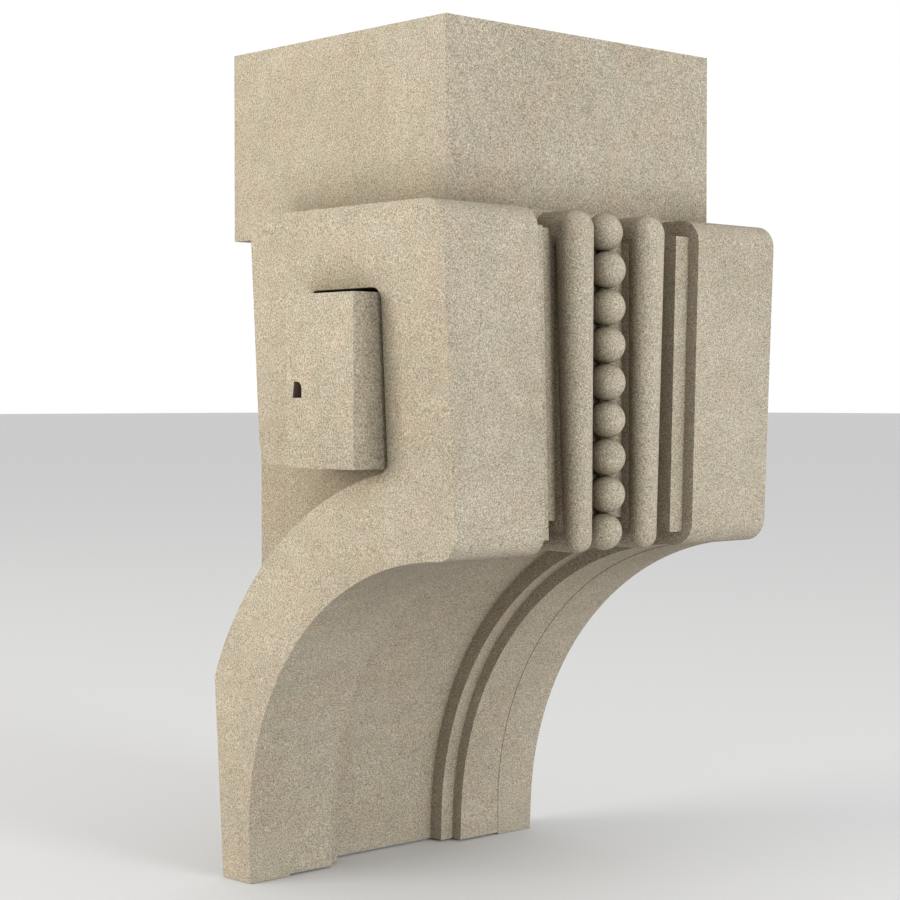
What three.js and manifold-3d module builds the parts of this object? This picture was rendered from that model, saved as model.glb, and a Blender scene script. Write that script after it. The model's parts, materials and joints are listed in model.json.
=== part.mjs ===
// Stone corbel: a square block over a body with two scroll-shaped cheeks, an arched underside,
// a beaded channel down the front and a raised tablet on each side. One stone, one solid.
// Millimetres, +Z up. The wall plane is Y = 0 and the front looks along -Y.
// Heights below are measured up from the foot; the last lines move the origin to the wall face.
import * as THREE from "three";
import { mergeVertices } from "three/addons/utils/BufferGeometryUtils.js";
import Module from "manifold-3d";

// Overall
const corbelHeight = 599;
const projection = 263;

// Block that carries the load
const blockWidth = 260;
const blockDepth = 228;
const blockHeight = 135;

// Body in front of and below the block
const bodyLap = 12;
const cornerRadius = 16.5;
const coreWidth = 212;
const coreFootLift = 1.3;

// Arched underside
const footDepth = 33;
const lipHeight = 245.5;
const noseDepth = 8.5;
const soffitStep = 0.8;

// Cheeks: scroll-shaped side slabs, wider at the top than at the foot
const footWidth = 284;
const cheekFlare = 0.0486;
const arcBand = 61.5;
const frontBand = 62;
const topBand = 54;
const tailBand = 66;
const tailInset = 65;
const tailHeight = 303.5;
const openingRadius = 8.5;

// Side tablets, standing in the scrolls' openings
const tabletSpan = 365.5;
const tabletGap = 3.4;
const tabletBedding = 3;
const pocketWidth = 9.6;
const pocketHeight = 10.8;
const pocketRadius = 7;
const pocketDepth = 30;
const pocketInset = 6.5;
const pocketRise = 46.5;

// Channel down the front and along the underside, with a fillet on each side of it
const channelFootWidth = 130.6;
const channelFlare = 0.0325;
const filletInset = 9.4;
const recessFootWidth = 106;
const recessFlare = 0.03;
const recessInset = 21.5;

// Rolls and bead string in the channel
const rollFootWidth = 19.6;
const rollTopWidth = 25.8;
const rollGap = 45.6;
const rollAxisInset = 10;
const rollReturn = 112;
const rollWebInset = 1;
const beadCount = 9;
const beadOverlap = 0.4;
const beadBedding = 5;
const endBeadSetback = 3;

// Facets
const archSegments = 32;
const cornerSegments = 6;
const roundSides = 16;
const beadRings = 10;
const weldDistance = 0.0001;

// How far a cut runs past what it cuts, and how far cheeks and tablets run into the core
const margin = 40;
const seat = 10;

// Sandstone
const stoneColor = 0xb8a98c;
const stoneRoughness = 0.92;

// Places that follow from the sizes above
const blockUnderside = corbelHeight - blockHeight;
const bodyTop = blockUnderside + bodyLap;
const archRadius = projection - noseDepth - footDepth;
const archY = -(projection - noseDepth);
const archZ = lipHeight - archRadius;
const below = -corbelHeight;
const openingTop = bodyTop - topBand;
const tailFront = -tailInset - tailBand;
const beadPitch = (bodyTop - lipHeight) / beadCount;

const wasm = await Module();
wasm.setup();

// A closed body that can be joined and cut.
function toSolid(geometry) {
  const bare = geometry.index ? geometry.toNonIndexed() : geometry.clone();
  bare.deleteAttribute("normal");
  bare.deleteAttribute("uv");
  const merged = mergeVertices(bare, weldDistance);
  return new wasm.Manifold(new wasm.Mesh({
    numProp: 3,
    vertProperties: new Float32Array(merged.attributes.position.array),
    triVerts: new Uint32Array(merged.index.array),
  }));
}

function toGeometry(solid) {
  const mesh = solid.getMesh();
  const geometry = new THREE.BufferGeometry();
  geometry.setAttribute("position", new THREE.BufferAttribute(new Float32Array(mesh.vertProperties), 3));
  geometry.setIndex(new THREE.BufferAttribute(new Uint32Array(mesh.triVerts), 1));
  return geometry;
}

function box(x0, x1, y0, y1, z0, z1) {
  const geometry = new THREE.BoxGeometry(x1 - x0, y1 - y0, z1 - z0);
  geometry.translate((x0 + x1) / 2, (y0 + y1) / 2, (z0 + z1) / 2);
  return toSolid(geometry);
}

// A side profile drawn in Y and Z, swept across X.
function acrossX(shape, x0, x1, curveSegments = cornerSegments) {
  const geometry = new THREE.ExtrudeGeometry(shape, { depth: x1 - x0, bevelEnabled: false, curveSegments });
  geometry.applyMatrix4(new THREE.Matrix4().set(0, 0, 1, x0, 1, 0, 0, 0, 0, 1, 0, 0, 0, 0, 0, 1));
  return toSolid(geometry);
}

// A prism that runs through the whole depth, its half width growing with height.
function flaredPrism(footHalfWidth, flare, z0, z1) {
  const half = (z) => footHalfWidth + flare * z;
  const shape = new THREE.Shape();
  shape.moveTo(-half(z0), z0);
  shape.lineTo(half(z0), z0);
  shape.lineTo(half(z1), z1);
  shape.lineTo(-half(z1), z1);
  shape.closePath();
  const depth = projection + 2 * margin;
  const geometry = new THREE.ExtrudeGeometry(shape, { depth, bevelEnabled: false });
  geometry.applyMatrix4(new THREE.Matrix4().set(1, 0, 0, 0, 0, 0, -1, margin, 0, 1, 0, 0, 0, 0, 0, 1));
  return toSolid(geometry);
}

function rodBetween(start, end, startRadius, endRadius) {
  const direction = end.clone().sub(start);
  const geometry = new THREE.CylinderGeometry(endRadius, startRadius, direction.length(), roundSides);
  const upright = new THREE.Vector3(0, 1, 0);
  geometry.applyQuaternion(new THREE.Quaternion().setFromUnitVectors(upright, direction.normalize()));
  const middle = start.clone().add(end).multiplyScalar(0.5);
  geometry.translate(middle.x, middle.y, middle.z);
  return toSolid(geometry);
}

function ball(center, radius) {
  const geometry = new THREE.SphereGeometry(radius, roundSides, beadRings);
  geometry.rotateX(Math.PI / 2);
  geometry.translate(center.x, center.y, center.z);
  return toSolid(geometry);
}

// The side profile of the whole body, set in from the outer one by inset at its front and lip.
function bodyOutline(inset, radius, foot, top) {
  const front = -projection + inset;
  const lip = lipHeight + inset;
  const shape = new THREE.Shape();
  shape.moveTo(0, foot);
  shape.lineTo(0, top);
  shape.lineTo(front + radius, top);
  if (radius > 0) shape.absarc(front + radius, top - radius, radius, Math.PI / 2, Math.PI, false);
  shape.lineTo(front, lip + radius);
  if (radius > 0) shape.absarc(front + radius, lip + radius, radius, Math.PI, 1.5 * Math.PI, false);
  shape.lineTo(front + radius, foot);
  shape.closePath();
  return shape;
}

// Everything under the arch, down past the foot and out past the front.
function archVoid(inset) {
  const radius = archRadius + inset;
  const shape = new THREE.Shape();
  shape.moveTo(archY + radius, below);
  shape.lineTo(archY + radius, archZ);
  shape.absarc(archY, archZ, radius, 0, Math.PI / 2, false);
  shape.lineTo(-projection - margin, archZ + radius);
  shape.lineTo(-projection - margin, below);
  shape.closePath();
  return acrossX(shape, -footWidth, footWidth, archSegments);
}

function bodySlab(outline, inset) {
  return acrossX(outline, -footWidth, footWidth).subtract(archVoid(inset));
}

// Everything above a cheek's arc, behind its front and under its top band, back to the wall.
function scrollOpening() {
  const bandRadius = archRadius + arcBand;
  const front = -projection + frontBand;
  const cornerY = front + openingRadius;
  const cornerZ = archZ + Math.sqrt((bandRadius + openingRadius) ** 2 - (cornerY - archY) ** 2);
  const touch = Math.atan2(cornerZ - archZ, cornerY - archY);
  const wallZ = archZ + Math.sqrt(bandRadius ** 2 - archY ** 2);
  const wallAngle = Math.atan2(wallZ - archZ, -archY);
  const shape = new THREE.Shape();
  shape.moveTo(0, wallZ);
  shape.absarc(archY, archZ, bandRadius, wallAngle, touch, false);
  shape.absarc(cornerY, cornerZ, openingRadius, touch + Math.PI, Math.PI, true);
  shape.lineTo(front, openingTop - openingRadius);
  shape.absarc(cornerY, openingTop - openingRadius, openingRadius, Math.PI, Math.PI / 2, true);
  shape.lineTo(margin, openingTop);
  shape.lineTo(margin, wallZ);
  shape.closePath();
  return acrossX(shape, -footWidth, footWidth, archSegments / 2);
}

// The scroll's end: it turns down from the top band and stops short of the arc, clear of the wall.
function scrollTail() {
  const back = -tailInset;
  const shape = new THREE.Shape();
  shape.moveTo(tailFront, bodyTop);
  shape.lineTo(tailFront, tailHeight);
  shape.lineTo(back - cornerRadius, tailHeight);
  shape.absarc(back - cornerRadius, tailHeight + cornerRadius, cornerRadius, -Math.PI / 2, 0, false);
  shape.lineTo(back, bodyTop - cornerRadius);
  shape.absarc(back - cornerRadius, bodyTop - cornerRadius, cornerRadius, 0, Math.PI / 2, false);
  shape.closePath();
  return acrossX(shape, -footWidth, footWidth);
}

function makeBlock() {
  return box(-blockWidth / 2, blockWidth / 2, -blockDepth, 0, blockUnderside, corbelHeight);
}

// Both cheeks: the scroll profile across the whole width, cut to the flare outside and hollow in the middle.
function makeCheeks() {
  const inner = coreWidth / 2 - seat;
  const behindTail = box(-footWidth, footWidth, tailFront, margin, openingTop - margin, bodyTop + margin);
  const scroll = bodySlab(bodyOutline(0, cornerRadius, 0, bodyTop), 0)
    .subtract(scrollOpening())
    .subtract(behindTail)
    .add(scrollTail());
  const width = flaredPrism(footWidth / 2, cheekFlare, -margin, bodyTop + margin);
  const middle = box(-inner, inner, -projection - margin, margin, -margin, bodyTop + margin);
  return scroll.intersect(width).subtract(middle);
}

// The middle of the body. The channel is cut back to two inner profiles: first the fillets', then its floor.
function makeCore() {
  const core = box(-coreWidth / 2, coreWidth / 2, -projection - margin, 0, coreFootLift, bodyTop + margin);
  const layer = (inset) => bodySlab(bodyOutline(inset, 0, 0, blockUnderside), inset + soffitStep);
  const channel = flaredPrism(channelFootWidth / 2, channelFlare, -margin, bodyTop + margin);
  const recess = flaredPrism(recessFootWidth / 2, recessFlare, -margin, bodyTop + margin);
  return bodySlab(bodyOutline(0, cornerRadius, 0, bodyTop), soffitStep)
    .intersect(core)
    .subtract(channel.subtract(layer(filletInset)))
    .subtract(recess.subtract(layer(recessInset)));
}

// A plain upright tablet with a small blind pocket in its face.
function makeTablet(side) {
  const inner = coreWidth / 2 - seat;
  const outer = tabletSpan / 2;
  const front = -projection + frontBand + tabletGap;
  const back = tailFront + tabletBedding;
  const top = openingTop - tabletGap;
  const across = (a, b) => [Math.min(side * a, side * b), Math.max(side * a, side * b)];
  const tablet = box(...across(inner, outer), front, back, tailHeight, top);
  const pocketBack = back - pocketInset;
  const pocketFoot = tailHeight + pocketRise;
  const shape = new THREE.Shape();
  shape.moveTo(pocketBack, pocketFoot);
  shape.lineTo(pocketBack, pocketFoot + pocketHeight);
  shape.lineTo(pocketBack - pocketWidth + pocketRadius, pocketFoot + pocketHeight);
  shape.absarc(pocketBack - pocketWidth + pocketRadius, pocketFoot + pocketHeight - pocketRadius,
    pocketRadius, Math.PI / 2, Math.PI, false);
  shape.lineTo(pocketBack - pocketWidth, pocketFoot);
  shape.closePath();
  return tablet.subtract(acrossX(shape, ...across(outer - pocketDepth, outer + margin)));
}

// A roll comes out of the block's face, runs down the channel and goes back into the underside.
// Its inner edge is upright and it narrows towards the foot, as the channel does.
function makeRoll(side) {
  const axisY = -projection + rollAxisInset;
  const topRadius = rollTopWidth / 2;
  const footRadius = rollFootWidth / 2;
  const topX = side * (rollGap / 2 + topRadius);
  const footX = side * (rollGap / 2 + footRadius);
  const topZ = bodyTop - topRadius;
  const footZ = lipHeight + footRadius;
  const start = new THREE.Vector3(topX, -blockDepth + topRadius, topZ);
  const shoulder = new THREE.Vector3(topX, axisY, topZ);
  const knee = new THREE.Vector3(footX, axisY, footZ);
  const end = new THREE.Vector3(footX, axisY + rollReturn, footZ);
  const webHalf = footRadius - rollWebInset;
  return rodBetween(start, shoulder, topRadius, topRadius)
    .add(ball(shoulder, topRadius))
    .add(rodBetween(shoulder, knee, topRadius, footRadius))
    .add(ball(knee, footRadius))
    .add(rodBetween(knee, end, footRadius, footRadius))
    .add(box(footX - webHalf, footX + webHalf, axisY, -blockDepth, footZ, topZ));
}

// The beads sit in the channel's floor. The end ones are set back and drawn out into the stone behind them.
function makeBeads() {
  const radius = (beadPitch + beadOverlap) / 2;
  const axisY = -projection + recessInset + beadBedding - radius;
  const endY = axisY + endBeadSetback;
  let beads = null;
  for (let i = 0; i < beadCount; i += 1) {
    const atEnd = i === 0 || i === beadCount - 1;
    const bead = ball(new THREE.Vector3(0, atEnd ? endY : axisY, lipHeight + beadPitch * (i + 0.5)), radius);
    beads = beads ? beads.add(bead) : bead;
  }
  const returnRadius = beadPitch / 2;
  const top = new THREE.Vector3(0, endY, bodyTop - returnRadius);
  const foot = new THREE.Vector3(0, endY, lipHeight + returnRadius);
  const topEnd = new THREE.Vector3(0, -blockDepth + returnRadius, top.z);
  const footEnd = new THREE.Vector3(0, endY + rollReturn, foot.z);
  return beads
    .add(rodBetween(top, topEnd, returnRadius, returnRadius))
    .add(rodBetween(foot, footEnd, returnRadius, returnRadius));
}

function makeCorbel() {
  const solid = makeCore()
    .add(makeCheeks())
    .add(makeBlock())
    .add(makeTablet(-1))
    .add(makeTablet(1))
    .add(makeRoll(-1))
    .add(makeRoll(1))
    .add(makeBeads());
  const stone = new THREE.MeshStandardMaterial({ color: stoneColor, roughness: stoneRoughness });
  const mesh = new THREE.Mesh(toGeometry(solid), stone);
  mesh.name = "corbel";
  mesh.position.z = -corbelHeight / 2;
  return mesh;
}

const group = new THREE.Group();
group.add(makeCorbel());
export default group;
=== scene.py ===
# Stone corbel. Everything is in the row frame, in metres: the wall plane is Y = 0, the front looks along -Y,
# the origin is on the wall face at mid height. Side profiles are drawn as (y, z) with z up from the foot.
import json
import math

import bmesh
import bpy
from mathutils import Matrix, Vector

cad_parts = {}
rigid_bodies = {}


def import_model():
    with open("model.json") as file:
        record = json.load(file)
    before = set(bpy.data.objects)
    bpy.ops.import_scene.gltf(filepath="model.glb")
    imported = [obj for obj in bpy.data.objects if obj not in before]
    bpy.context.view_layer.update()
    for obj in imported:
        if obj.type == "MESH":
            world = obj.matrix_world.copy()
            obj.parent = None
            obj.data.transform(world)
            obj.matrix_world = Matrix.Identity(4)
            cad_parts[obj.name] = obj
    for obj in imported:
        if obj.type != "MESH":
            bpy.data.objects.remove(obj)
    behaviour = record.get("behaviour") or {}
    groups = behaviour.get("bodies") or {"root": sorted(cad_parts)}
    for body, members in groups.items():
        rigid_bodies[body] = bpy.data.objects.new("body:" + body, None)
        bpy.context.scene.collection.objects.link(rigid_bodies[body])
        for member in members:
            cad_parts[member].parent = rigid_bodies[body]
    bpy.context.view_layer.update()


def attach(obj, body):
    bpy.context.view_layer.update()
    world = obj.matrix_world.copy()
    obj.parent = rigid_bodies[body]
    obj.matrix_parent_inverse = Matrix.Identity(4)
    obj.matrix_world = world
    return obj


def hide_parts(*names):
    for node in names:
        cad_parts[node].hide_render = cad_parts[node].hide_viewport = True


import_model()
view_collection = bpy.context.scene.collection


# The stone
# One block of fine-grained sandstone, sawn, carved and rubbed, with its arrises just taken off. It is bedded
# against the wall at its back and carries its load on the square block. Nothing on it is loose, so the body,
# the rolls and the beads are joined at the end into one piece.

mm = 0.001
corbel_height = 599 * mm
projection = 263 * mm
block_width = 260 * mm
block_depth = 228 * mm
block_height = 135 * mm
body_lap = 12 * mm
corner_radius = 16.5 * mm
core_half = 106 * mm
core_foot_lift = 1.3 * mm
foot_depth = 33 * mm
lip_height = 245.5 * mm
nose_depth = 8.5 * mm
soffit_step = 0.5 * mm
foot_half = 142 * mm
cheek_flare = 0.0486
arc_band = 61.5 * mm
front_band = 62 * mm
top_band = 54 * mm
tail_band = 66 * mm
tail_inset = 65 * mm
tail_height = 303.5 * mm
opening_radius = 8.5 * mm
opening_back_radius = 3 * mm
tablet_half = 182.75 * mm
tablet_gap = 3.4 * mm
tablet_bedding = 3 * mm
pocket_width = 9.6 * mm
pocket_height = 10.8 * mm
pocket_lean = 1.8 * mm
pocket_depth = 30 * mm
pocket_inset = 6.5 * mm
pocket_rise = 46.5 * mm
pocket_round = 5 * mm
pocket_rim = 1.2 * mm
channel_half = 65.3 * mm
channel_flare = 0.0325
fillet_inset = 9.4 * mm
recess_half = 53.0 * mm
recess_flare = 0.030
recess_inset = 21.5 * mm
roll_axis_inset = 10 * mm
roll_top_radius = 12.9 * mm
roll_foot_radius = 9.8 * mm
roll_inner = 22.8 * mm
roll_return = 112 * mm
web_margin = 1 * mm
bead_count = 9
bead_radius = 12.9 * mm
bead_bedding = 5 * mm
bead_set_back = 3 * mm
smallest_bead = 0.985
largest_bead = 1.01
fillet_root = 90 * mm
tablet_root = 98 * mm
relief_root = 60 * mm
cut_margin = 20 * mm
cut_front = -100 * mm
arris = 0.7 * mm
lip_round_end = 1.45 * math.pi
corner_steps = 10
arch_steps = 72
scroll_steps = 48
small_round_steps = 6
round_segments = 48
round_rings = 24

block_underside = corbel_height - block_height
body_top = block_underside + body_lap
arch_radius = projection - nose_depth - foot_depth
arch_y = -(projection - nose_depth)
arch_z = lip_height - arch_radius
axis_y = -projection + roll_axis_inset
roll_top_x = roll_inner + roll_top_radius
roll_foot_x = roll_inner + roll_foot_radius
web_half = roll_foot_radius - web_margin
bead_pitch = (body_top - lip_height) / bead_count


def arc(cy, cz, radius, start, end, steps):
    turns = [start + (end - start) * i / steps for i in range(steps + 1)]
    return [(cy + radius * math.cos(a), cz + radius * math.sin(a)) for a in turns]


def body_profile(inset, radius, top, step):
    """Side outline of the body from the wall round the front to the foot of the arch."""
    front = -projection + inset
    lip = lip_height + inset
    under = arch_radius + inset + step
    points = [(0, 0), (0, top)]
    if radius:
        points += arc(front + radius, top - radius, radius, math.pi / 2, math.pi, corner_steps)
        points += arc(front + radius, lip + radius, radius, math.pi, lip_round_end, corner_steps)
    else:
        points.append((front, top))
    start = math.acos((front + radius - arch_y) / under)
    points += arc(arch_y, arch_z, under, start, 0, arch_steps)
    points.append((arch_y + under, 0))
    return points


def scroll_profile():
    """Side outline of a cheek: the leg, the arc, the front, the top and the tail that hangs at the back."""
    band = arch_radius + arc_band
    front = -projection + front_band
    top = body_top - top_band
    tail_front = -(tail_inset + tail_band)
    cy = front + opening_radius
    cz = arch_z + math.sqrt((band + opening_radius) ** 2 - (cy - arch_y) ** 2)
    touch = math.atan2(cz - arch_z, cy - arch_y)
    wall = math.atan2(math.sqrt(band ** 2 - arch_y ** 2), -arch_y)
    points = arc(arch_y, arch_z, band, wall, touch, scroll_steps)
    points += arc(cy, cz, opening_radius, touch + math.pi, math.pi, small_round_steps)
    points += arc(cy, top - opening_radius, opening_radius, math.pi, math.pi / 2, small_round_steps)
    back_y, back_z = tail_front - opening_back_radius, top - opening_back_radius
    points += arc(back_y, back_z, opening_back_radius, math.pi / 2, 0, small_round_steps // 2)
    points.append((tail_front, tail_height))
    end_y = -tail_inset - corner_radius
    points += arc(end_y, tail_height + corner_radius, corner_radius, -math.pi / 2, 0, corner_steps)
    points += arc(end_y, body_top - corner_radius, corner_radius, 0, math.pi / 2, corner_steps)
    outline = body_profile(0, corner_radius, body_top, 0)
    points += outline[2:]
    points.append((0, 0))
    return points


solids = bpy.data.collections.new("stone_solids")
cuts = bpy.data.collections.new("stone_cuts")
view_collection.children.link(solids)
view_collection.children.link(cuts)


def prism(name, profile, x_start, x_end, lift=0.0, into=solids):
    """A profile swept across X between two faces, each given as (place at the foot, growth with height)."""
    mesh = bmesh.new()
    rings = []
    for at, flare in (x_start, x_end):
        ring = [mesh.verts.new((at + flare * z, y, (z or lift) - corbel_height / 2)) for y, z in profile]
        rings.append(ring)
    mesh.faces.new(rings[0])
    mesh.faces.new(list(reversed(rings[1])))
    for i in range(len(profile)):
        j = (i + 1) % len(profile)
        mesh.faces.new((rings[0][j], rings[0][i], rings[1][i], rings[1][j]))
    bmesh.ops.recalc_face_normals(mesh, faces=mesh.faces)
    data = bpy.data.meshes.new(name)
    mesh.to_mesh(data)
    mesh.free()
    made = bpy.data.objects.new(name, data)
    into.objects.link(made)
    return made


def rectangle(y0, y1, z0, z1):
    return [(y0, z0), (y1, z0), (y1, z1), (y0, z1)]


floor_layer = body_profile(recess_inset, 0, block_underside, soffit_step)
fillet_layer = body_profile(fillet_inset, 0, block_underside, soffit_step)
scroll = scroll_profile()
body = prism("corbel_body", floor_layer, (-core_half, 0), (core_half, 0), core_foot_lift, view_collection)
block_half = block_width / 2
prism("block", rectangle(-block_depth, 0, block_underside, corbel_height), (-block_half, 0), (block_half, 0))
tablet_front = -projection + front_band + tablet_gap
tablet_back = -(tail_inset + tail_band) + tablet_bedding
tablet_top = body_top - top_band - tablet_gap
tablet = rectangle(tablet_front, tablet_back, tail_height, tablet_top)
web = rectangle(axis_y, -block_depth, lip_height + roll_foot_radius, body_top - roll_top_radius)
for side in (-1, 1):
    recess_wall = (side * recess_half, side * recess_flare)
    channel_wall = (side * channel_half, side * channel_flare)
    prism("fillet", fillet_layer, recess_wall, (side * fillet_root, 0), core_foot_lift)
    prism("cheek", scroll, channel_wall, (side * foot_half, side * cheek_flare))
    prism("tablet", tablet, (side * tablet_root, 0), (side * tablet_half, 0))
    prism("roll_web", web, (side * (roll_foot_x - web_half), 0), (side * (roll_foot_x + web_half), 0))

join = body.modifiers.new("join", "BOOLEAN")
join.operation = "UNION"
join.operand_type = "COLLECTION"
join.collection = solids
join.solver = "EXACT"

# Cut from it: the small blind pocket in each tablet's face, with a leaning back edge and one round corner,
# and the shaving that leaves the core's underside and foot a hair behind the cheeks'.
pocket_back = tablet_back - pocket_inset
pocket_foot = tail_height + pocket_rise
pocket = [(pocket_back, pocket_foot), (pocket_back - pocket_lean, pocket_foot + pocket_height)]
pocket += arc(pocket_back - pocket_width + pocket_round, pocket_foot + pocket_height - pocket_round,
              pocket_round, math.pi / 2, math.pi, small_round_steps)
pocket.append((pocket_back - pocket_width, pocket_foot))
under_core = arch_radius + soffit_step
front_end = math.acos((corner_radius - nose_depth) / under_core)
shaving = arc(arch_y, arch_z, under_core, front_end, 0, arch_steps)
behind_wall = cut_margin / 2
shaving += [(arch_y + under_core, core_foot_lift), (behind_wall, core_foot_lift)]
shaving += [(behind_wall, -cut_margin), (cut_front, -cut_margin)]
shaving += arc(arch_y, arch_z, under_core - cut_margin, 0, front_end, arch_steps)
for side in (-1, 1):
    prism("relief", shaving, (side * relief_root, 0), (side * core_half, 0), into=cuts)
    pocket_end = side * (tablet_half - pocket_depth)
    prism("pocket", pocket, (pocket_end, 0), (side * (tablet_half + cut_margin), 0), into=cuts)
cut = body.modifiers.new("cut", "BOOLEAN")
cut.operation = "DIFFERENCE"
cut.operand_type = "COLLECTION"
cut.collection = cuts
cut.solver = "EXACT"

soften = body.modifiers.new("soften", "BEVEL")
soften.width = arris
soften.segments = 2
soften.limit_method = "ANGLE"
soften.angle_limit = math.radians(38)

bpy.context.view_layer.update()
finished = bpy.data.meshes.new_from_object(body.evaluated_get(bpy.context.evaluated_depsgraph_get()))
body.modifiers.clear()
body.data = finished
finished.name = "corbel_body"
for group in (solids, cuts):
    for helper in list(group.objects):
        bpy.data.objects.remove(helper)
    bpy.data.collections.remove(group)
finished.shade_smooth()
finished.set_sharp_from_angle(angle=math.radians(32))

# The two rolls: rounds that narrow towards the foot and bend straight back at both ends, into the block above
# and into the underside below.
roll_top = body_top - roll_top_radius - corbel_height / 2
roll_foot = lip_height + roll_foot_radius - corbel_height / 2
roll_mesh = bmesh.new()


def roll_rod(start, end, start_radius, end_radius):
    a, b = Vector(start), Vector(end)
    made = bmesh.ops.create_cone(roll_mesh, cap_ends=True, segments=round_segments, depth=(b - a).length,
                                 radius1=start_radius, radius2=end_radius)
    turn = (b - a).to_track_quat("Z", "Y").to_matrix().to_4x4()
    bmesh.ops.transform(roll_mesh, matrix=turn, verts=made["verts"])
    bmesh.ops.translate(roll_mesh, vec=(a + b) / 2, verts=made["verts"])


def roll_bend(center, radius):
    made = bmesh.ops.create_uvsphere(roll_mesh, u_segments=round_segments, v_segments=round_rings,
                                     radius=radius)
    bmesh.ops.translate(roll_mesh, vec=center, verts=made["verts"])


for side in (-1, 1):
    shoulder = (side * roll_top_x, axis_y, roll_top)
    knee = (side * roll_foot_x, axis_y, roll_foot)
    roll_rod(knee, shoulder, roll_foot_radius, roll_top_radius)
    into_block = (shoulder[0], -block_depth + roll_top_radius, roll_top)
    roll_rod(shoulder, into_block, roll_top_radius, roll_top_radius)
    roll_rod(knee, (knee[0], axis_y + roll_return, roll_foot), roll_foot_radius, roll_foot_radius)
    roll_bend(shoulder, roll_top_radius)
    roll_bend(knee, roll_foot_radius)
roll_data = bpy.data.meshes.new("corbel_rolls")
roll_mesh.to_mesh(roll_data)
roll_mesh.free()
roll_data.shade_smooth()
roll_data.set_sharp_from_angle(angle=math.radians(40))
rolls = bpy.data.objects.new("corbel_rolls", roll_data)
view_collection.objects.link(rolls)

# The stone itself: warm grey-beige, mottled by bedding, with dark and light grains about a millimetre across.
stone = bpy.data.materials.new("sandstone")
stone.use_nodes = True
nodes = stone.node_tree.nodes
links = stone.node_tree.links
shader = nodes["Principled BSDF"]
place = nodes.new("ShaderNodeTexCoord")


def noise(scale, detail, roughness, offset=0.0):
    shifted = nodes.new("ShaderNodeVectorMath")
    shifted.inputs[1].default_value = (offset, offset * 0.7, -offset)
    links.new(place.outputs["Object"], shifted.inputs[0])
    made = nodes.new("ShaderNodeTexNoise")
    made.inputs["Scale"].default_value = scale
    made.inputs["Detail"].default_value = detail
    made.inputs["Roughness"].default_value = roughness
    links.new(shifted.outputs[0], made.inputs["Vector"])
    return made.outputs["Fac"]


def ramp(value, stops):
    made = nodes.new("ShaderNodeValToRGB")
    links.new(value, made.inputs[0])
    ends = made.color_ramp.elements
    while len(ends) < len(stops):
        ends.new(0.5)
    for end, (at, color) in zip(ends, stops):
        end.position = at
        end.color = (*color, 1)
    return made.outputs["Color"]


def feed(socket, value):
    """Gives a socket a plain number, or links another node's output to it."""
    if isinstance(value, (int, float)):
        socket.default_value = value
    else:
        links.new(value, socket)


def multiply(first, second, amount=1.0):
    made = nodes.new("ShaderNodeMix")
    made.data_type = "RGBA"
    made.blend_type = "MULTIPLY"
    feed(made.inputs[0], amount)
    links.new(first, made.inputs[6])
    links.new(second, made.inputs[7])
    return made.outputs[2]


def calculate(operation, first, second, third=0.0):
    made = nodes.new("ShaderNodeMath")
    made.operation = operation
    for socket, value in zip(made.inputs, (first, second, third)):
        feed(socket, value)
    return made.outputs[0]


def map_range(value, low=0.0, high=1.0, to_low=0.0, to_high=1.0):
    made = nodes.new("ShaderNodeMapRange")
    for name, at in (("From Min", low), ("From Max", high), ("To Min", to_low), ("To Max", to_high)):
        made.inputs[name].default_value = at
    links.new(value, made.inputs["Value"])
    return made.outputs["Result"]


def split(vector):
    made = nodes.new("ShaderNodeSeparateXYZ")
    links.new(vector, made.inputs[0])
    return made.outputs


def shelter(distance):
    """1 on open faces, down to 0 where the stone's own faces stand close around."""
    made = nodes.new("ShaderNodeAmbientOcclusion")
    made.samples = 8
    made.only_local = True
    made.inputs["Distance"].default_value = distance
    return made.outputs["AO"]


def bump(height, strength, distance):
    made = nodes.new("ShaderNodeBump")
    made.inputs["Strength"].default_value = strength
    made.inputs["Distance"].default_value = distance
    links.new(height, made.inputs["Height"])
    return made


bed_color = ramp(noise(9, 4, 0.6), [(0.32, (0.355, 0.310, 0.238)), (0.70, (0.410, 0.364, 0.288))])
mottle = ramp(noise(70, 5, 0.65, 3.1), [(0.34, (0.90, 0.90, 0.89)), (0.66, (1.0, 1.0, 1.0))])
grain = ramp(noise(860, 3, 0.8, 7.7), [(0.32, (0.38, 0.36, 0.33)), (0.50, (0.88, 0.88, 0.87)),
                                       (0.68, (1.32, 1.31, 1.29))])
flecks = ramp(noise(1600, 2, 0.8, 1.3), [(0.32, (0.40, 0.38, 0.36)), (0.50, (0.95, 0.95, 0.95)),
                                         (0.70, (1.4, 1.4, 1.4))])
tint = ramp(noise(38, 3, 0.6, 9.4), [(0.36, (1.015, 0.985, 0.965)), (0.50, (1.0, 1.0, 1.0)),
                                     (0.64, (0.97, 0.995, 0.975))])
color = bed_color
for layer in (mottle, tint, grain):
    color = multiply(color, layer)
color = multiply(color, flecks, 0.9)

# Painted shade where the stone's own faces stand close around: light in the recesses and the channel,
# and deep in the narrow grooves round the tablets and along the ledges.
clean = (1.0, 1.0, 1.0)
wide_painted_shade = ramp(shelter(120 * mm), [(0.40, (0.70, 0.68, 0.64)), (0.72, (0.87, 0.86, 0.83)), (0.93, clean)])
close_painted_shade = ramp(shelter(30 * mm), [(0.0, (0.10, 0.08, 0.06)), (0.04, (0.76, 0.72, 0.66)),
                                (0.30, (0.92, 0.905, 0.88)), (0.65, clean)])
occlusion_shaded_color = multiply(multiply(color, wide_painted_shade), close_painted_shade)
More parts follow.
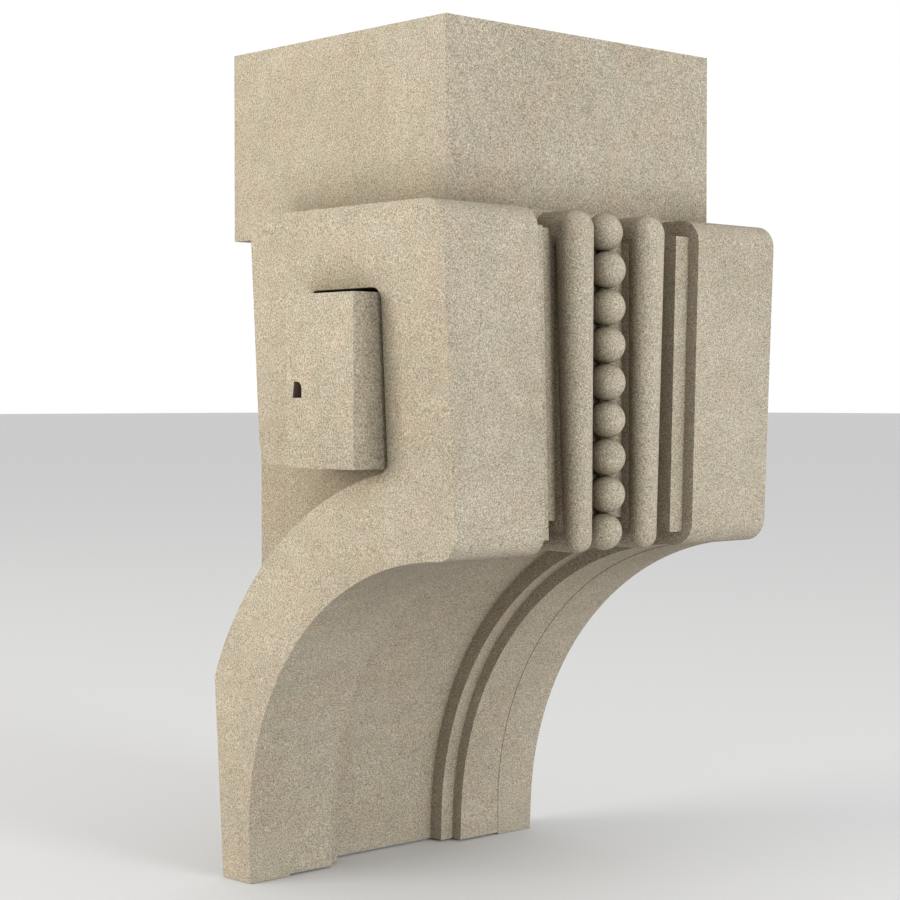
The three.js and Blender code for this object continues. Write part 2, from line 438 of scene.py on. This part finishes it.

# Painted shade above the ledges: the foot of the block is darker and clears over a few centimetres.
# There is no ledge next to the wall, behind the cheeks' tails.
ledge_shade_height = 36 * mm
ledge = body_top - corbel_height / 2
spot = split(place.outputs["Object"])
ledge_painted_shade = ramp(map_range(spot["Z"], ledge, ledge + ledge_shade_height),
              [(0.0, clean), (0.06, (0.74, 0.725, 0.70)), (0.45, (0.86, 0.85, 0.835)), (1.0, clean)])
over_ledge = map_range(spot["Y"], -tail_inset - 10 * mm, -tail_inset + 15 * mm, 1, 0)
ledge_shaded_color = multiply(occlusion_shaded_color, ledge_painted_shade, over_ledge)

# The core's sides, at the back of the scrolls' openings, carry painted shade and are a shade darker.
facing = split(place.outputs["Normal"])
at_core = calculate("COMPARE", calculate("ABSOLUTE", spot["X"], 0), core_half, 2 * mm)
sideways = calculate("GREATER_THAN", calculate("ABSOLUTE", facing["X"], 0), 0.9)
recess_painted_shade = ramp(calculate("MULTIPLY", at_core, sideways), [(0.0, clean), (1.0, (0.85, 0.83, 0.80))])
links.new(multiply(ledge_shaded_color, recess_painted_shade), shader.inputs["Base Color"])

# The surface is matt, a little uneven in its dullness, and rough to the touch at two scales.
links.new(map_range(noise(120, 3, 0.6, 5.5), to_low=0.82, to_high=0.98), shader.inputs["Roughness"])
shader.inputs["Specular IOR Level"].default_value = 0.25
fine = bump(noise(700, 4, 0.7, 7.7), 0.55, 0.6 * mm)
broad = bump(noise(95, 3, 0.55, 2.2), 0.35, 1.5 * mm)
links.new(fine.outputs["Normal"], broad.inputs["Normal"])
links.new(broad.outputs["Normal"], shader.inputs["Normal"])

# The bead string: balls in a row down the middle of the channel, the end ones set back into the stone.
beads_tree = bpy.data.node_groups.new("bead_string", "GeometryNodeTree")
panel = beads_tree.interface
panel.new_socket(name="Geometry", in_out="INPUT", socket_type="NodeSocketGeometry")
bead_inputs = {
    "Count": ("NodeSocketInt", bead_count),
    "Pitch": ("NodeSocketFloat", bead_pitch),
    "Radius": ("NodeSocketFloat", bead_radius),
    "Set back": ("NodeSocketFloat", bead_set_back),
    "First height": ("NodeSocketFloat", lip_height + bead_pitch / 2 - corbel_height / 2),
    "Axis depth": ("NodeSocketFloat", -projection + recess_inset + bead_bedding - bead_radius),
    "Seed": ("NodeSocketInt", 4),
}
for name, (kind, value) in bead_inputs.items():
    panel.new_socket(name=name, in_out="INPUT", socket_type=kind).default_value = value
panel.new_socket(name="Stone", in_out="INPUT", socket_type="NodeSocketMaterial")
panel.new_socket(name="Geometry", in_out="OUTPUT", socket_type="NodeSocketGeometry")
tree = beads_tree.nodes
wire = beads_tree.links
given = tree.new("NodeGroupInput")
result = tree.new("NodeGroupOutput")
start = tree.new("ShaderNodeCombineXYZ")
wire.new(given.outputs["Axis depth"], start.inputs["Y"])
wire.new(given.outputs["First height"], start.inputs["Z"])
step = tree.new("ShaderNodeCombineXYZ")
wire.new(given.outputs["Pitch"], step.inputs["Z"])
row = tree.new("GeometryNodeMeshLine")
wire.new(given.outputs["Count"], row.inputs["Count"])
wire.new(start.outputs[0], row.inputs["Start Location"])
wire.new(step.outputs[0], row.inputs["Offset"])
index = tree.new("GeometryNodeInputIndex")
last = tree.new("ShaderNodeMath")
last.operation = "SUBTRACT"
last.inputs[1].default_value = 1
wire.new(given.outputs["Count"], last.inputs[0])
is_end = tree.new("FunctionNodeBooleanMath")
is_end.operation = "OR"
is_first, is_last = (tree.new("FunctionNodeCompare") for _ in range(2))
for slot, compare in enumerate((is_first, is_last)):
    compare.data_type = "INT"
    compare.operation = "EQUAL"
    wire.new(index.outputs[0], compare.inputs[2])
    wire.new(compare.outputs[0], is_end.inputs[slot])
wire.new(last.outputs[0], is_last.inputs[3])
back = tree.new("ShaderNodeCombineXYZ")
wire.new(given.outputs["Set back"], back.inputs["Y"])
shift = tree.new("GeometryNodeSetPosition")
wire.new(row.outputs["Mesh"], shift.inputs["Geometry"])
wire.new(is_end.outputs[0], shift.inputs["Selection"])
wire.new(back.outputs[0], shift.inputs["Offset"])
bead_ball = tree.new("GeometryNodeMeshUVSphere")
bead_ball.inputs["Segments"].default_value = round_segments
bead_ball.inputs["Rings"].default_value = round_rings
wire.new(given.outputs["Radius"], bead_ball.inputs["Radius"])
size_change = tree.new("FunctionNodeRandomValue")
size_change.inputs[2].default_value = smallest_bead
size_change.inputs[3].default_value = largest_bead
wire.new(given.outputs["Seed"], size_change.inputs["Seed"])
strung = tree.new("GeometryNodeInstanceOnPoints")
wire.new(shift.outputs[0], strung.inputs["Points"])
wire.new(bead_ball.outputs["Mesh"], strung.inputs["Instance"])
wire.new(size_change.outputs[1], strung.inputs["Scale"])
real = tree.new("GeometryNodeRealizeInstances")
wire.new(strung.outputs[0], real.inputs[0])
smooth = tree.new("GeometryNodeSetShadeSmooth")
wire.new(real.outputs[0], smooth.inputs[0])
dress = tree.new("GeometryNodeSetMaterial")
wire.new(smooth.outputs[0], dress.inputs["Geometry"])
wire.new(given.outputs["Stone"], dress.inputs["Material"])
wire.new(dress.outputs[0], result.inputs[0])

beads = bpy.data.objects.new("corbel_beads", bpy.data.meshes.new("bead_seed"))
view_collection.objects.link(beads)
string = beads.modifiers.new("bead_string", "NODES")
string.node_group = beads_tree
stone_socket = next(s.identifier for s in panel.items_tree if s.name == "Stone")
string[stone_socket] = stone
bpy.context.view_layer.update()
bead_data = bpy.data.meshes.new_from_object(beads.evaluated_get(bpy.context.evaluated_depsgraph_get()))
beads.modifiers.clear()
beads.data = bead_data
bead_data.name = "corbel_beads"
bpy.data.node_groups.remove(beads_tree)

# The insides of the two blind pockets are painted almost black, as painted shade deep in the holes. The noise
# and its ramp are now made in this material's own tree.
pocket_shade = bpy.data.materials.new("pocket_painted_shade")
pocket_shade.use_nodes = True
nodes = pocket_shade.node_tree.nodes
links = pocket_shade.node_tree.links
place = nodes.new("ShaderNodeTexCoord")
pocket_shade_color = ramp(noise(400, 3, 0.7), [(0.35, (0.090, 0.062, 0.046)), (0.65, (0.160, 0.112, 0.082))])
pocket_shade_shader = nodes["Principled BSDF"]
links.new(pocket_shade_color, pocket_shade_shader.inputs["Base Color"])
pocket_shade_shader.inputs["Roughness"].default_value = 0.95
# The faces inside the pockets take slot 1, the painted shade.
for wall in body.data.polygons:
    across, deep, high = wall.center
    in_depth = tablet_half - pocket_depth - mm < abs(across) < tablet_half - pocket_rim
    in_width = pocket_back - pocket_width - mm < deep < pocket_back + mm
    in_height = -mm < high + corbel_height / 2 - pocket_foot < pocket_height + mm
    if in_depth and in_width and in_height:
        wall.material_index = 1

# Body, rolls and beads are one stone, so they are one piece. Set Material gives the beads slot 1, which is
# the pockets' painted shade here, so they are put back on slot 0.
whole = bmesh.new()
for bead_face in beads.data.polygons:
    bead_face.material_index = 0
for part in (body, rolls, beads):
    whole.from_mesh(part.data)
    bpy.data.objects.remove(part)
stone_data = bpy.data.meshes.new("corbel_stone")
whole.to_mesh(stone_data)
whole.free()
stone_data.materials.append(stone)
stone_data.materials.append(pocket_shade)
corbel = bpy.data.objects.new("corbel_stone", stone_data)
view_collection.objects.link(corbel)
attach(corbel, "root")
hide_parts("corbel")


# Stage
# A plain pale floor under the foot, soft light from a pale surround, one large soft light to the left and
# a weaker one in front.
floor_data = bpy.data.meshes.new("floor")
floor_half = 40.0
floor_gap = 0.4 * mm
floor_z = -corbel_height / 2 - floor_gap
corners = [(x * floor_half, y * floor_half, floor_z) for x, y in ((-1, -1), (1, -1), (1, 1), (-1, 1))]
floor_data.from_pydata(corners, [], [(0, 1, 2, 3)])
floor = bpy.data.objects.new("floor", floor_data)
view_collection.objects.link(floor)
pale = bpy.data.materials.new("pale_floor")
pale.use_nodes = True
pale_shader = pale.node_tree.nodes["Principled BSDF"]
pale_shader.inputs["Base Color"].default_value = (0.56, 0.56, 0.56, 1)
pale_shader.inputs["Roughness"].default_value = 0.9
floor_data.materials.append(pale)

world = bpy.data.worlds.new("studio")
bpy.context.scene.world = world
world.use_nodes = True
surround = world.node_tree.nodes["Background"]
surround.inputs["Color"].default_value = (1.0, 1.0, 1.0, 1)
surround.inputs["Strength"].default_value = 1.0
bpy.context.scene.view_settings.view_transform = "Standard"


def soft_light(name, place_at, toward, size, power, color):
    data = bpy.data.lights.new(name, "AREA")
    data.shape = "SQUARE"
    data.size = size
    data.energy = power
    data.color = color
    lamp = bpy.data.objects.new(name, data)
    lamp.location = place_at
    lamp.rotation_euler = (Vector(toward) - Vector(place_at)).to_track_quat("-Z", "Y").to_euler()
    view_collection.objects.link(lamp)


soft_light("key", (-4.0, 1.5, 0.1), (0, -0.1, -0.2), 3.0, 340, (1.0, 0.96, 0.90))
soft_light("fill", (0.15, -2.8, 0.4), (0, -0.1, 0), 0.9, 56, (0.95, 0.975, 1.0))

camera_data = bpy.data.cameras.new("camera")
camera_data.sensor_width = 36
camera_data.lens = 81.41
camera = bpy.data.objects.new("camera", camera_data)
camera.location = (-1.0248, -1.2021, 0.0499)
camera.rotation_euler = (math.radians(90 - 1.4423), 0, math.radians(-42.6863))
view_collection.objects.link(camera)
bpy.context.scene.camera = camera
